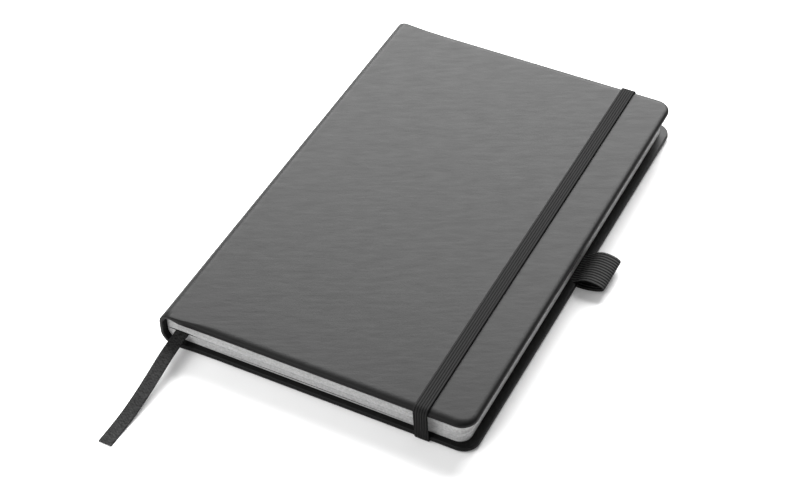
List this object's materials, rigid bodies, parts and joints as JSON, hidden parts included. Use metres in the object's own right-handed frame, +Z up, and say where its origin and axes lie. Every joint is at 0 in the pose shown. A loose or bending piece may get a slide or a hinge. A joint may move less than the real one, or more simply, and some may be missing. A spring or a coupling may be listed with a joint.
{
  "type": "diary notebook",
  "caption": "Closed A5 hard-cover diary in dark grey leatherette with elastic closure, pen loop and ribbon marker.",
  "frame": {"origin": "point of the back cover's underside below the middle of the front cover, on the plane that the closed book lies on", "axes": "+X from the spine to the fore-edge, +Y from the tail to the head, +Z up through the front cover"},
  "size_m": [0.1488, 0.2662, 0.0171],
  "materials": {
    "leatherette": "soft-touch matt, very fine grain",
    "board": "plain grey board",
    "endpaper": "matt",
    "gauze": "open weave, glued",
    "pages": "matt, fine leaf lines on the cut edges",
    "ribbon": "fine woven satin",
    "elastic": "lengthwise ribs",
    "loop_elastic": "fine ribs"
  },
  "bodies": {
    "back_cover": {"back_wrap": "leatherette", "back_board": "board", "back_pastedown": "endpaper", "closure_elastic": "elastic", "pen_loop_under": "loop_elastic", "pen_loop_over": "loop_elastic"},
    "block": {"page_block": "pages", "spine_wrap": "leatherette", "spine_card": "board", "spine_lining": "gauze", "front_flyleaf": "endpaper", "back_flyleaf": "endpaper", "ribbon_marker": "ribbon"},
    "front_cover": {"front_wrap": "leatherette", "front_board": "board", "front_pastedown": "endpaper"}
  },
  "joints": [
    {"name": "back_hinge", "type": "hinge", "parent": "back_cover", "child": "block", "pos_m": [-0.0666, 0, 0.00139], "axis": [0, -1, 0], "range_deg": [0, 90], "deforming": ["closure_elastic"]},
    {"name": "front_hinge", "type": "hinge", "parent": "block", "child": "front_cover", "pos_m": [-0.063, 0, 0.01625], "axis": [0, -1, 0], "range_deg": [0, 187], "deforming": ["closure_elastic"]}
  ]
}
